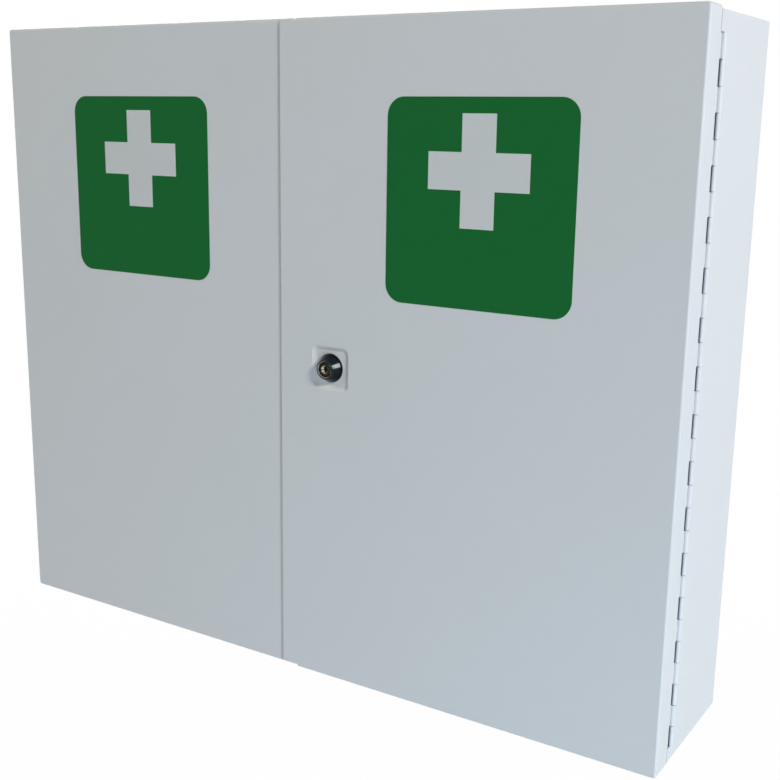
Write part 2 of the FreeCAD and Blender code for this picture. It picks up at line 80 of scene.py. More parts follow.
class Signal:
    """A shader value; its arithmetic adds Math nodes to the graph that it belongs to."""

    def __init__(self, graph: "Graph", socket: bpy.types.NodeSocket) -> None:
        """Wrap a socket.

        Args:
            graph: The graph that gets the Math nodes.
            socket: The output that carries the value.
        """
        self.graph = graph
        self.socket = socket

    def _math(self, operation: str, first: Operand, second: Operand) -> "Signal":
        """Add one Math node.

        Args:
            operation: The Math node's operation.
            first: Its first value.
            second: Its second value.

        Returns:
            The node's result.
        """
        return self.graph.node("ShaderNodeMath", {"operation": operation}, {0: first, 1: second})

    def __add__(self, other: Operand) -> "Signal":
        """Sum."""
        return self._math("ADD", self, other)

    def __radd__(self, other: Operand) -> "Signal":
        """Sum with a number on the left."""
        return self._math("ADD", other, self)

    def __sub__(self, other: Operand) -> "Signal":
        """Difference."""
        return self._math("SUBTRACT", self, other)

    def __rsub__(self, other: Operand) -> "Signal":
        """Difference from a number on the left."""
        return self._math("SUBTRACT", other, self)

    def __mul__(self, other: Operand) -> "Signal":
        """Product."""
        return self._math("MULTIPLY", self, other)

    def __rmul__(self, other: Operand) -> "Signal":
        """Product with a number on the left."""
        return self._math("MULTIPLY", other, self)

    def clamped(self) -> "Signal":
        """The value kept between 0 and 1."""
        return self.graph.node("ShaderNodeClamp", inputs={"Value": self})

    def ramp(self, low: float, high: float) -> "Signal":
        """Spread a band of the value over 0 to 1.

        Args:
            low: The value that becomes 0.
            high: The value that becomes 1.

        Returns:
            The spread value, clamped and eased.
        """
        settings = {"interpolation_type": "SMOOTHSTEP"}
        return self.graph.node("ShaderNodeMapRange", settings, {"Value": self, 1: low, 2: high})

    def band(self, low: float, high: float, edge: float) -> "Signal":
        """Pick out a band of the value.

        Args:
            low: Where the band begins.
            high: Where it ends.
            edge: Half the width of its soft edges.

        Returns:
            1 in the band, 0 outside it.
        """
        return self.ramp(low - edge, low + edge) * (1 - self.ramp(high - edge, high + edge))


class Graph:
    """The node graph of one material or of the world."""

    def __init__(self, tree: bpy.types.NodeTree, output: str) -> None:
        """Empty a tree and give it an output.

        Args:
            tree: The node tree to fill.
            output: The type of its output node.
        """
        self.tree = tree
        self.tree.nodes.clear()
        self.end = self.tree.nodes.new(output)

    def node(
        self,
        kind: str,
        settings: Optional[Mapping[str, Any]] = None,
        inputs: Optional[Mapping[Union[str, int], Any]] = None,
        output: Union[str, int] = 0,
    ) -> Signal:
        """Add one node.

        Args:
            kind: The node's type.
            settings: Properties of the node, set before its sockets.
            inputs: Values or signals by socket name or number.
            output: The socket that is handed back.

        Returns:
            The chosen output.
        """
        made = self.tree.nodes.new(kind)
        for name, value in (settings or {}).items():
            setattr(made, name, value)
        for key, value in (inputs or {}).items():
            if isinstance(value, Signal):
                self.tree.links.new(value.socket, made.inputs[key])
            else:
                made.inputs[key].default_value = value
        return Signal(self, made.outputs[output])

    def show(self, surface: Signal) -> None:
        """Send a shader to the output's surface."""
        self.tree.links.new(surface.socket, self.end.inputs["Surface"])

    def place(self, stretch: Point = (1.0, 1.0, 1.0), centre: Point = (0.0, 0.0, 0.0)) -> Signal:
        """Object coordinates, moved and stretched.

        Args:
            stretch: Factor on each axis.
            centre: The point that becomes the pattern's origin.

        Returns:
            The coordinates.
        """
        spot = self.node("ShaderNodeTexCoord", output="Object")
        shift = tuple(-place * factor for place, factor in zip(centre, stretch))
        inputs = {"Vector": spot, "Location": shift, "Scale": stretch}
        return self.node("ShaderNodeMapping", {"vector_type": "POINT"}, inputs)

    def reach(self, centre: Point) -> Signal:
        """Distance from an axis that runs from front to back.

        Args:
            centre: A point of the axis.

        Returns:
            The distance in metres.
        """
        face = self.place(stretch=(1.0, 0.0, 1.0), centre=centre)
        return self.node("ShaderNodeVectorMath", {"operation": "LENGTH"}, {0: face}, "Value")

    def noise(self, scale: float, detail: float = 2.0, at: Optional[Signal] = None) -> Signal:
        """Noise with about the given number of grains to the metre.

        Args:
            scale: Grains to the metre.
            detail: Octaves.
            at: Coordinates, or None for plain object coordinates.

        Returns:
            A value about 0.5.
        """
        inputs = {"Vector": at or self.place(), "Scale": scale, "Detail": detail}
        return self.node("ShaderNodeTexNoise", inputs=inputs)

    def mix(self, share: Operand, first: Any, second: Any) -> Signal:
        """Blend two colours.

        Args:
            share: How much of the second colour shows.
            first: A colour of four numbers, or a signal.
            second: Another one.

        Returns:
            The blended colour.
        """
        return self.node("ShaderNodeMix", {"data_type": "RGBA"}, {0: share, 6: first, 7: second}, 2)

    def bump(self, height: Signal, depth: float) -> Signal:
        """Turn a height into a normal.

        Args:
            height: Height, in units of the depth.
            depth: What a height of 1 stands for, in metres.

        Returns:
            The normal.
        """
        inputs = {"Height": height, "Distance": depth, "Strength": 1.0}
        return self.node("ShaderNodeBump", inputs=inputs)


def shade(colour: Colour, factor: float = 1.0) -> tuple[float, float, float, float]:
    """A colour as a socket takes it.

    Args:
        colour: Red, green and blue.
        factor: Multiplies all three.

    Returns:
        Four numbers, the last one opaque.
    """
    return (colour[0] * factor, colour[1] * factor, colour[2] * factor, 1.0)


@dataclass(frozen=True)
class Finish:
    """A surface finish; each kind says how its surface varies."""

    name: str
    colour: Colour
    roughness: float

    def surface(self, graph: Graph) -> dict[str, Any]:
        """Inputs of the surface shader.

        Args:
            graph: The graph that gets the nodes.

        Returns:
            Values and signals by socket name.
        """
        raise NotImplementedError

    def material(self) -> bpy.types.Material:
        """The finish as a material, made once.

        Returns:
            The material of this finish's name.
        """
        made = bpy.data.materials.get(self.name)
        if made is None:
            made = bpy.data.materials.new(self.name)
            made.use_nodes = True
            graph = Graph(made.node_tree, "ShaderNodeOutputMaterial")
            graph.show(graph.node("ShaderNodeBsdfPrincipled", inputs=self.surface(graph)))
        return made


@dataclass(frozen=True)
class PowderCoat(Finish):
    """Baked powder paint: a fine orange peel under a satin gloss."""

    peel_grain: float = 620.0
    peel_share: float = 0.8
    peel_depth: float = 0.00006
    peel_spread: float = 0.10
    grit_grain: float = 2600.0
    cloud_grain: float = 9.0
    cloud_spread: float = 0.06
    drift: float = 0.012

    def surface(self, graph: Graph) -> dict[str, Any]:
        """Inputs of the surface shader.

        Args:
            graph: The graph that gets the nodes.

        Returns:
            Values and signals by socket name.
        """
        peel = graph.noise(self.peel_grain, detail=1.5)
        grit = graph.noise(self.grit_grain, detail=1.0)
        cloud = graph.noise(self.cloud_grain, detail=3.0)
        colour = graph.mix(cloud, shade(self.colour, 1 - self.drift), shade(self.colour, 1 + self.drift))
        spread = self.peel_spread * (peel - NOISE_MEAN) + self.cloud_spread * (cloud - NOISE_MEAN)
        height = self.peel_share * peel + (1 - self.peel_share) * grit
        return {
            "Base Color": colour,
            "Roughness": (self.roughness + spread).clamped(),
            "Normal": graph.bump(height, self.peel_depth),
        }


@dataclass(frozen=True)
class LockPlate(Finish):
    """Plating on turned metal with wiping marks; its near-black colour is a painted dark reflection, and a
    ring of brighter metal on the front bevel is a painted highlight that also stands for key wear.
    """

    centre: Point = (0.0, 0.0, 0.0)
    ring: Pair = (0.00735, 0.00820)
    edge: float = 0.00012
    highlight_and_wear: Colour = (0.165, 0.160, 0.138)
    ring_dulling: float = 0.22
    hair_grain: float = 900.0
    hair_stretch: Point = (0.15, 1.0, 3.0)
    hair_spread: float = 0.05
    hair_depth: float = 0.000004
    film_grain: float = 260.0
    film_band: Pair = (0.45, 0.75)
    film_shade: float = 0.82
    film_dulling: float = 0.05

    def surface(self, graph: Graph) -> dict[str, Any]:
        """Inputs of the surface shader.

        Args:
            graph: The graph that gets the nodes.

        Returns:
            Values and signals by socket name.
        """
        hairs = graph.noise(self.hair_grain, at=graph.place(stretch=self.hair_stretch))
        film = graph.noise(self.film_grain, detail=3.0).ramp(*self.film_band)
        bright = self._highlight_ring(graph)
        plate = graph.mix(film, shade(self.colour), shade(self.colour, self.film_shade))
        marks = self.film_dulling * film + self.hair_spread * (hairs - NOISE_MEAN)
        rough = self.roughness + marks + self.ring_dulling * bright
        return {
            # Painted highlight: the bevel ring takes a brighter metal colour, partly standing for key wear.
            "Base Color": graph.mix(bright, plate, shade(self.highlight_and_wear)),
            "Metallic": 1.0,
            "Roughness": rough.clamped(),
            "Normal": graph.bump(hairs, self.hair_depth),
        }

    def _highlight_ring(self, graph: Graph) -> Signal:
        """The painted highlight ring on the front bevel of the lock.

        Args:
            graph: The graph that gets the nodes.

        Returns:
            1 on the ring, 0 elsewhere.
        """
        ring = graph.reach(self.centre).band(*self.ring, self.edge)
        spot = graph.place(centre=self.centre)
        depth = graph.node("ShaderNodeSeparateXYZ", inputs={0: spot}, output="Y")
        return ring * (1 - depth.ramp(-self.edge, self.edge))


@dataclass(frozen=True)
class PlugBrass(Finish):
    """Brass plug face with turning rings, tarnish and key scratches; its dark colour is a painted dark
    reflection, and its key dish and edge ring take brighter metal that is partly key wear and partly a
    painted glint.
    """

    centre: Point = (0.0, 0.0, 0.0)
    dish: Pair = (0.0024, 0.0042)
    dish_glint_and_wear: float = 0.85
    dish_gloss: float = 0.06
    rim: float = 0.0063
    rim_highlight_and_wear: float = 0.2
    edge: float = 0.0002
    highlight_and_wear: Colour = (0.27, 0.26, 0.21)
    ring_grain: float = 1500.0
    stain_grain: float = 420.0
    stain_band: Pair = (0.42, 0.68)
    stain_dulling: float = 0.18
    tarnish: Colour = (0.011, 0.011, 0.007)
    scratch_grain: float = 1300.0
    scratch_stretch: Point = (1.0, 0.2, 0.12)
    scratch_band: Pair = (0.62, 0.72)
    scratch_gloss: float = 0.08
    mark_share: float = 0.25
    mark_depth: float = 0.000006

    def surface(self, graph: Graph) -> dict[str, Any]:
        """Inputs of the surface shader.

        Args:
            graph: The graph that gets the nodes.

        Returns:
            Values and signals by socket name.
        """
        reach = graph.reach(self.centre)
        turning = reach * (self.ring_grain * math.tau)
        rings = graph.node("ShaderNodeMath", {"operation": "SINE"}, {0: turning})
        stain = graph.noise(self.stain_grain, detail=4.0).ramp(*self.stain_band)
        along = graph.place(stretch=self.scratch_stretch)
        scratches = graph.noise(self.scratch_grain, at=along).ramp(*self.scratch_band)
        dish_band = reach.band(*self.dish, self.edge)
        # Painted glint and key wear: the dish and the plug's edge ring take a brighter metal colour.
        glint_and_wear_share = self.rim_highlight_and_wear * reach.ramp(self.rim, self.rim + self.edge) + self.dish_glint_and_wear * dish_band
        face = graph.mix(stain, shade(self.colour), shade(self.tarnish))
        dull = self.stain_dulling * stain * (1 - dish_band)
        rough = self.roughness + dull - self.scratch_gloss * scratches - self.dish_gloss * dish_band
        return {
            "Base Color": graph.mix(glint_and_wear_share, face, shade(self.highlight_and_wear)),
            "Metallic": 1.0,
            "Roughness": rough.clamped(),
            "Normal": graph.bump(self.mark_share * (rings + scratches), self.mark_depth),
        }


@dataclass(frozen=True)
class ZincPlate(Finish):
    """Bright zinc on pressed steel: a faint haze, rolling lines and scuffs."""

    haze_grain: float = 140.0
    haze_tones: Pair = (0.90, 1.06)
    haze_spread: float = 0.16
    line_grain: float = 1400.0
    line_stretch: Point = (1.0, 1.0, 0.05)
    line_share: float = 0.7
    line_spread: float = 0.10
    scuff_grain: float = 520.0
    scuff_stretch: Point = (0.2, 1.0, 1.0)
    scuff_band: Pair = (0.58, 0.70)
    scuff_dulling: float = 0.10
    mark_depth: float = 0.000006

    def surface(self, graph: Graph) -> dict[str, Any]:
        """Inputs of the surface shader.

        Args:
            graph: The graph that gets the nodes.

        Returns:
            Values and signals by socket name.
        """
        haze = graph.noise(self.haze_grain, detail=4.0)
        lines = graph.noise(self.line_grain, at=graph.place(stretch=self.line_stretch))
        along = graph.place(stretch=self.scuff_stretch)
        scuffs = graph.noise(self.scuff_grain, detail=3.0, at=along).ramp(*self.scuff_band)
        dark, light = self.haze_tones
        spread = self.haze_spread * (haze - NOISE_MEAN) + self.line_spread * (lines - NOISE_MEAN)
        rough = self.roughness + spread + self.scuff_dulling * scuffs
        height = self.line_share * lines + (1 - self.line_share) * scuffs
        return {
            "Base Color": graph.mix(haze, shade(self.colour, dark), shade(self.colour, light)),
            "Metallic": 1.0,
            "Roughness": rough.clamped(),
            "Normal": graph.bump(height, self.mark_depth),
        }


@dataclass(frozen=True)
class DrawnWire(Finish):
    """Steel wire with the fine lines of its drawing along it."""

    line_grain: float = 5200.0
    line_stretch: Point = (1.0, 1.0, 0.01)
    line_spread: float = 0.2
    line_depth: float = 0.000008
    oil_grain: float = 160.0
    oil_band: Pair = (0.5, 0.8)
    oil_shade: float = 0.6
    oil_gloss: float = 0.1

    def surface(self, graph: Graph) -> dict[str, Any]:
        """Inputs of the surface shader.

        Args:
            graph: The graph that gets the nodes.

        Returns:
            Values and signals by socket name.
        """
        lines = graph.noise(self.line_grain, at=graph.place(stretch=self.line_stretch))
        oil = graph.noise(self.oil_grain, detail=3.0).ramp(*self.oil_band)
        rough = self.roughness + self.line_spread * (lines - NOISE_MEAN) - self.oil_gloss * oil
        return {
            "Base Color": graph.mix(oil, shade(self.colour), shade(self.colour, self.oil_shade)),
            "Metallic": 1.0,
            "Roughness": rough.clamped(),
            "Normal": graph.bump(lines, self.line_depth),
        }


@dataclass(frozen=True)
class MouldedPlastic(Finish):
    """Black moulded plastic with a spark-eroded grain."""

    spark_grain: float = 2400.0
    spark_depth: float = 0.00002
    rub_grain: float = 300.0
    rub_band: Pair = (0.5, 0.8)
    rub_shade: float = 1.8
    rub_gloss: float = 0.15

    def surface(self, graph: Graph) -> dict[str, Any]:
        """Inputs of the surface shader.

        Args:
            graph: The graph that gets the nodes.

        Returns:
            Values and signals by socket name.
        """
        sparks = graph.noise(self.spark_grain)
        rub = graph.noise(self.rub_grain).ramp(*self.rub_band)
        return {
            "Base Color": graph.mix(rub, shade(self.colour), shade(self.colour, self.rub_shade)),
            "Roughness": (self.roughness - self.rub_gloss * rub).clamped(),
            "Normal": graph.bump(sparks, self.spark_depth),
        }


@dataclass(frozen=True)
class PrintedVinyl(Finish):
    """Printed self-adhesive film under a matt laminate."""

    specular: float = 0.06
    drift: float = 0.03
    weave_grain: float = 1900.0
    weave_share: float = 0.15
    weave_spread: float = 0.12
    wave_grain: float = 24.0
    ink_grain: float = 85.0
    depth: float = 0.00012

    def surface(self, graph: Graph) -> dict[str, Any]:
        """Inputs of the surface shader.

        Args:
            graph: The graph that gets the nodes.

        Returns:
            Values and signals by socket name.
        """
        weave = graph.noise(self.weave_grain, detail=1.0)
        wave = graph.noise(self.wave_grain)
        ink = graph.noise(self.ink_grain, detail=3.0)
        colour = graph.mix(ink, shade(self.colour, 1 - self.drift), shade(self.colour, 1 + self.drift))
        height = self.weave_share * weave + (1 - self.weave_share) * wave
        return {
            "Base Color": colour,
            "Roughness": (self.roughness + self.weave_spread * (weave - NOISE_MEAN)).clamped(),
            "Specular IOR Level": self.specular,
            "Normal": graph.bump(height, self.depth),
        }


@dataclass(frozen=True)
class Palette:
    """Every finish of the cabinet."""

    coat: Finish = PowderCoat("white_powder_coat", (0.715, 0.715, 0.715), 0.42)
    # Painted dark reflection: the lock's plate colour is near-black, standing in for the dark room that its
    # chrome would reflect.
    lock: Finish = LockPlate(
        "lock_plate_painted_dark", (0.0220, 0.0270, 0.0310), 0.06, centre=(0.041, -0.1661, -0.001)
    )
    # Painted dark reflection: the plug's colour is a dark olive, standing in for the dark room that its
    # metal would reflect.
    plug: Finish = PlugBrass("plug_brass_painted_dark", (0.024, 0.0232, 0.016), 0.20, centre=(0.041, 0.0, -0.001))
    zinc: Finish = ZincPlate("bright_zinc", (0.58, 0.60, 0.62), 0.34)
    wire: Finish = DrawnWire("drawn_wire", (0.50, 0.51, 0.52), 0.35)
    knob: Finish = MouldedPlastic("black_moulding", (0.018, 0.018, 0.019), 0.5)
    green: Finish = PrintedVinyl("sign_green", (0.0112, 0.147, 0.032), 0.5)
    white: Finish = PrintedVinyl("sign_white", (0.715, 0.715, 0.700), 0.5, drift=0.01)


class Workpiece:
    """A mesh shaped with hand tools, from a primitive to a finished piece."""

    def __init__(self, name: str) -> None:
        """Take the primitive that was just added.

        Args:
            name: The piece's name.
        """
        self.object = bpy.context.active_object
        self.object.name = name
        self.object.data.name = name

    @classmethod
    def turned(cls, name: str, profile: Sequence[Pair], sides: int) -> "Workpiece":
        """Turn a round piece about the Z axis.

        Args:
            name: The piece's name.
            profile: Radius and height of each step, from the foot up.
            sides: Faces round the piece.

        Returns:
            The workpiece, closed at both ends.
        """
        radius, height = profile[0]
        bpy.ops.mesh.primitive_circle_add(vertices=sides, radius=radius, fill_type="NGON")
        work = cls(name)
        work.settle((0.0, 0.0, height))
        with work.editing():
            for (radius, height), (wider, higher) in zip(profile, profile[1:]):
                rise = {"value": (0.0, 0.0, higher - height)}
                bpy.ops.mesh.extrude_region_move(TRANSFORM_OT_translate=rise)
                bpy.ops.transform.resize(value=(wider / radius, wider / radius, 1.0))
            bpy.ops.mesh.select_all(action="SELECT")
            bpy.ops.mesh.normals_make_consistent(inside=False)
        return work

    def twin(self, name: str) -> "Workpiece":
        """Copy the piece, with a mesh of its own.

        Args:
            name: The copy's name.

        Returns:
            The copy, active and selected in place of this piece.
        """
        bpy.ops.object.duplicate(linked=False)
        self.object.select_set(False)
        return Workpiece(name)

    @contextmanager
    def editing(self) -> Iterator[None]:
        """Edit mode for the length of a with block.

        Returns:
            A context that starts with everything selected and ends in object mode.
        """
        bpy.ops.object.mode_set(mode="EDIT")
        bpy.ops.mesh.select_all(action="SELECT")
        yield
        bpy.ops.object.mode_set(mode="OBJECT")

    def pick(self, test: Callable[[Any], bool]) -> None:
        """Select only the faces that pass a test, in edit mode.

        Args:
            test: True for a face to select.
        """
        bpy.ops.mesh.select_mode(type="FACE")
        bpy.ops.mesh.select_all(action="DESELECT")
        mesh = bmesh.from_edit_mesh(self.object.data)
        for face in filter(test, mesh.faces):
            face.select_set(True)
        mesh.select_flush_mode()
        bmesh.update_edit_mesh(self.object.data)

    def choose(self) -> None:
        """Make the piece the only selected one, and the active one."""
        bpy.ops.object.select_all(action="DESELECT")
        self.object.select_set(True)
        bpy.context.view_layer.objects.active = self.object

    def assign(self, finish: Finish) -> None:
        """Give the selected faces one of the piece's finishes."""
        self.object.active_material_index = self.object.data.materials.find(finish.name)
        bpy.ops.object.material_slot_assign()

    def paint(self, *finishes: Finish) -> None:
        """Give the piece its materials, in order."""
        for finish in finishes:
            self.object.data.materials.append(finish.material())

    def modify(self, kind: str, **settings: Any) -> None:
        """Add a modifier and apply it.

        Args:
            kind: The modifier's type.
            **settings: Its properties.
        """
        bpy.context.view_layer.objects.active = self.object
        modifier = self.object.modifiers.new(kind.lower(), kind)
        for name, value in settings.items():
            setattr(modifier, name, value)
        bpy.ops.object.modifier_apply(modifier=modifier.name)

    def soften(self, width: float, angle: float) -> None:
        """Bevel the edges that are sharper than an angle."""
        self.modify("BEVEL", width=width, segments=2, limit_method="ANGLE", angle_limit=angle)

    def settle(self, place: Point, turn: Point = (0.0, 0.0, 0.0)) -> None:
        """Put the piece in place, with its place in its mesh.

        Args:
            place: Where its origin goes.
            turn: Angles about the three axes.
        """
        self.object.location = place
        self.object.rotation_euler = turn
        bpy.ops.object.transform_apply(location=True, rotation=True, scale=True)

    def smooth(self, angle: float = math.radians(32)) -> None:
        """Shade smooth up to an angle."""
        bpy.ops.object.shade_smooth_by_angle(angle=angle)

    def hand_over(self, body: Body, slot: str) -> bpy.types.Object:
        """Let the piece ride on a body.

        Args:
            body: The body that carries it.
            slot: The record's material slot; not used.

        Returns:
            The finished object.
        """
        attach(self.object, body.value)
        self.object.select_set(False)
        LOG.info("%s: %d faces on %s", self.object.name, len(self.object.data.polygons), body.value)
        return self.object


@dataclass
class SafetySign:
    """A green sign with a white cross, all but square, stuck on a door."""

    name: str
    body: Body
    door: str
    palette: Palette
    centre_x: float
    centre_z: float = 0.1589
    side: float = 0.1814
    corner: float = 0.0165
    corner_steps: int = 12
    cross_length: float = 0.0972
    cross_width: float = 0.0325
    cross_rise: float = 0.0284
    width_share: float = 1.003
    height_share: float = 0.991
    film: float = 0.00018
    lift: float = 0.00002

    def build(self) -> None:
        """Cut the film, print it and stick it on."""
        bpy.ops.mesh.primitive_plane_add(size=self.side)
        work = Workpiece(self.name)
        work.paint(self.palette.green, self.palette.white)
        with work.editing():
            self._round_corners()
            self._score_cross()
            self._print(work)
            bpy.ops.mesh.select_all(action="SELECT")
            bpy.ops.transform.resize(value=(self.width_share, self.height_share, 1.0))
        work.modify("SOLIDIFY", thickness=self.film, offset=1.0)
        face_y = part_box(self.door)[0].y
        work.settle((self.centre_x, face_y - self.lift, self.centre_z), FACING_FRONT)
        work.hand_over(self.body, "sign_vinyl")

    def _score_cross(self) -> None:
        """Split the sheet along the sides of the cross."""
        for half in (self.cross_width / 2, self.cross_length / 2):
            for side in (-half, half):
                upright = ((side, 0, 0), (1, 0, 0))
                level = ((0, side + self.cross_rise, 0), (0, 1, 0))
                for spot, across in (upright, level):
                    bpy.ops.mesh.select_all(action="SELECT")
                    bpy.ops.mesh.bisect(plane_co=spot, plane_no=across)

    def _round_corners(self) -> None:
        """Round the four corners of the sheet."""
        bpy.ops.mesh.bevel(offset=self.corner, segments=self.corner_steps, affect="VERTICES")

    def _print(self, work: Workpiece) -> None:
        """Print the sheet green, and leave the cross white.

        Args:
            work: The sheet, in edit mode.
        """
        work.pick(self._in_cross)
        work.assign(self.palette.white)

    def _in_cross(self, face: Any) -> bool:
        """Tell the cross from the ground.

        Args:
            face: A face of the sheet.

        Returns:
            True inside the cross.
        """
        spot = face.calc_center_median()
        across = sorted((abs(spot.x), abs(spot.y - self.cross_rise)))
        return across[0] < self.cross_width / 2 and across[1] < self.cross_length / 2


@dataclass
class BoltKnobs:
    """The fluted moulded knobs of the two slide bolts."""

    palette: Palette
    neck_radius: float = 0.0030
    neck_length: float = 0.0030
    radius: float = 0.0050
    length: float = 0.0080
    chamfer: float = 0.0009
    sides: int = 36
    flute_edge: float = 0.00010
    flute_depth: float = 0.00040
    cup_edge: float = 0.0014
    cup_depth: float = 0.00045
    rounding: float = 0.00012
    sharp: float = math.radians(40)
    steepest: float = 0.1
    grip_share: float = 0.9

    def build(self) -> None:
        """Mould one knob, copy it, and put one on each bolt."""
        top = self._mould("top_fluted_knob")
        bottom = top.twin("bottom_fluted_knob")
        seats = ((bottom, "bottom_bolt_knob", Body.BOTTOM_BOLT), (top, "top_bolt_knob", Body.TOP_BOLT))
        for work, node, body in seats:
            low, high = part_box(node)
            work.choose()
            work.settle(((low.x + high.x) / 2, low.y, (low.z + high.z) / 2), FACING_REAR)
            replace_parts(work.hand_over(body, "bolt_knob"), node)

    def _mould(self, name: str) -> Workpiece:
        """Shape one knob about the Z axis, with its foot at the origin.

        Args:
            name: The knob's name.

        Returns:
            The knob, not yet in place.
        """
        work = Workpiece.turned(name, (
            (self.neck_radius, 0.0),
            (self.neck_radius, self.neck_length),
            (self.radius - self.chamfer / 2, self.neck_length),
            (self.radius, self.neck_length + self.chamfer / 2),
            (self.radius, self.length - self.chamfer),
            (self.radius - self.chamfer, self.length),
        ), self.sides)
        with work.editing():
            work.pick(self._is_flute)
            bpy.ops.mesh.inset(thickness=self.flute_edge, depth=-self.flute_depth, use_individual=True)
            work.pick(lambda face: face.calc_center_median().z > self.length - self.rounding)
            bpy.ops.mesh.inset(thickness=self.cup_edge, depth=-self.cup_depth)
        work.soften(self.rounding, self.sharp)
        work.smooth()
        work.paint(self.palette.knob)
        return work

    def _is_flute(self, face: Any) -> bool:
        """Pick every other face round the grip.

        Args:
            face: A face of the knob.

        Returns:
            True where a flute goes.
        """
        spot = face.calc_center_median()
        if abs(face.normal.z) > self.steepest or math.hypot(spot.x, spot.y) < self.radius * self.grip_share:
            return False
        turn = math.atan2(spot.y, spot.x) / math.tau * self.sides
        return math.floor(turn) % 2 == 0


@dataclass
class LockHardware:
    """What shows of the lock inside the door: the thread of its barrel and the screw of its cam."""

    palette: Palette
    barrel_radius: float = 0.0090
    barrel_flats: float = 0.0160
    thread_pitch: float = 0.0010
    thread_crest: float = 0.00030
    thread_steps: int = 48
    end_gap: float = 0.0004
    shank_radius: float = 0.0020
    head_radius: float = 0.0045
    head_height: float = 0.0024
    head_round: float = 0.0010
    head_bulge: Pair = (0.3, 0.7)
    head_sides: int = 40
    cross_length: float = 0.0050
    cross_width: float = 0.0011
    cross_depth: float = 0.0015
    cross_taper: Point = (0.45, 0.7, 1.0)
    cross_turns: Pair = (math.radians(45), math.radians(135))
    rounding: float = 0.00008
    sharp: float = math.radians(35)

    def build(self) -> None:
        """Cut the thread and make the screw."""
        self._thread()
        self._screw()

    def _thread(self) -> None:
        """Wind the thread on the barrel, from the nut to the cam, and flatten its two sides."""
        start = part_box("lock_nut")[1].y + self.end_gap
        low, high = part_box("lock_body")
        turns = int((high.y - start - self.end_gap) / self.thread_pitch)
        bpy.ops.mesh.primitive_circle_add(vertices=4, radius=self.thread_crest)
        work = Workpiece("barrel_thread")
        work.settle((self.barrel_radius, 0.0, 0.0), FACING_FRONT)
        work.modify(
            "SCREW", screw_offset=self.thread_pitch, iterations=turns,
            steps=self.thread_steps, render_steps=self.thread_steps,
        )
        with work.editing():
            bpy.ops.mesh.fill_holes(sides=4)
            for side in (-1, 1):
                flat = (side * self.barrel_flats / 2, 0, 0)
                bpy.ops.mesh.select_all(action="SELECT")
                bpy.ops.mesh.bisect(plane_co=flat, plane_no=(side, 0, 0), clear_outer=True, use_fill=True)
            bpy.ops.mesh.select_all(action="SELECT")
            bpy.ops.mesh.normals_make_consistent(inside=False)
        work.smooth()
        work.paint(self.palette.lock)
        work.settle(((low.x + high.x) / 2, start, (low.z + high.z) / 2), FACING_REAR)
        work.hand_over(Body.RIGHT_DOOR, "lock_chrome")

    def _screw(self) -> None:
        """Make the cam's pan head screw with its cross recess."""
        low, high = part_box("cam_screw")
        shank = high.y - low.y - self.head_height
        crown = self.head_height - self.head_round
        inward, upward = self.head_bulge
        work = Workpiece.turned("cam_cross_screw", (
            (self.shank_radius, -shank),
            (self.shank_radius, 0.0),
            (self.head_radius, 0.0),
            (self.head_radius, crown),
            (self.head_radius - inward * self.head_round, crown + upward * self.head_round),
            (self.head_radius - self.head_round, self.head_height),
        ), self.head_sides)
        cutter = self._cross_cutter()
        for turn in self.cross_turns:
            cutter.object.rotation_euler.z = turn
            bpy.context.view_layer.update()
            work.modify("BOOLEAN", object=cutter.object, operation="DIFFERENCE", solver="EXACT")
        bpy.data.objects.remove(cutter.object)
        work.choose()
        work.soften(self.rounding, self.sharp)
        work.smooth()
        work.paint(self.palette.zinc)
        work.settle(((low.x + high.x) / 2, high.y - self.head_height, (low.z + high.z) / 2), FACING_REAR)
        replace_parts(work.hand_over(Body.LOCK_CORE, "zinc_plate"), "cam_screw")

    def _cross_cutter(self) -> Workpiece:
        """Shape the punch of one arm of the cross; it narrows towards its foot.

        Returns:
            The punch, over the origin.
        """
        bpy.ops.mesh.primitive_cube_add(size=1.0)
        cutter = Workpiece("cross_punch")
        with cutter.editing():
            bpy.ops.transform.resize(value=(self.cross_length, self.cross_width, 2 * self.cross_depth))
            cutter.pick(lambda face: face.calc_center_median().z < -self.cross_depth / 2)
            bpy.ops.transform.resize(value=self.cross_taper)
        cutter.object.location = (0.0, 0.0, self.head_height)
        cutter.object.select_set(False)
        return cutter


@dataclass
class CabinetFinishes:
    """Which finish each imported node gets."""

    nodes: Mapping[str, bpy.types.Object]
    palette: Palette

    def table(self) -> dict[str, Finish]:
        """Finishes of the nodes that aren't painted.

        Returns:
            A finish by node name.
        """
        zinc = ("lock_washer", "lock_nut", "lock_cam", "cam_screw", "top_bolt", "bottom_bolt")
        chosen: dict[str, Finish] = {name: self.palette.zinc for name in zinc}
        chosen["lock_body"] = self.palette.lock
        chosen["lock_plug"] = self.palette.plug
        for side in ("right", "left"):
            chosen[side + "_hinge_pin"] = self.palette.wire
        for end in ("top", "bottom"):
            chosen[end + "_bolt_knob"] = self.palette.knob
        return chosen

    def dress(self) -> None:
        """Give every node its material."""
        chosen = self.table()
        for name, node in self.nodes.items():
            finish = chosen.get(name, self.palette.coat)
            node.data.materials.clear()
            node.data.materials.append(finish.material())
            LOG.info("%s: %s", name, finish.name)


@dataclass
class Lamp:
    """A soft box."""

    name: str
    place: Point
    width: float
    height: float
    power: float
    colour: Colour
    aim: Point = (0.0, -0.08, 0.0)

    def hang(self) -> None:
        """Put the lamp up, turned to its aim."""
        bpy.ops.object.light_add(type="AREA", location=self.place)
        lamp = bpy.context.active_object
        lamp.name = self.name
        lamp.data.shape = "RECTANGLE"
        lamp.data.size = self.width
        lamp.data.size_y = self.height
        lamp.data.energy = self.power
        lamp.data.color = self.colour
        direction = Vector(self.aim) - Vector(self.place)
        lamp.rotation_euler = direction.to_track_quat("-Z", "Y").to_euler()
        lamp.select_set(False)


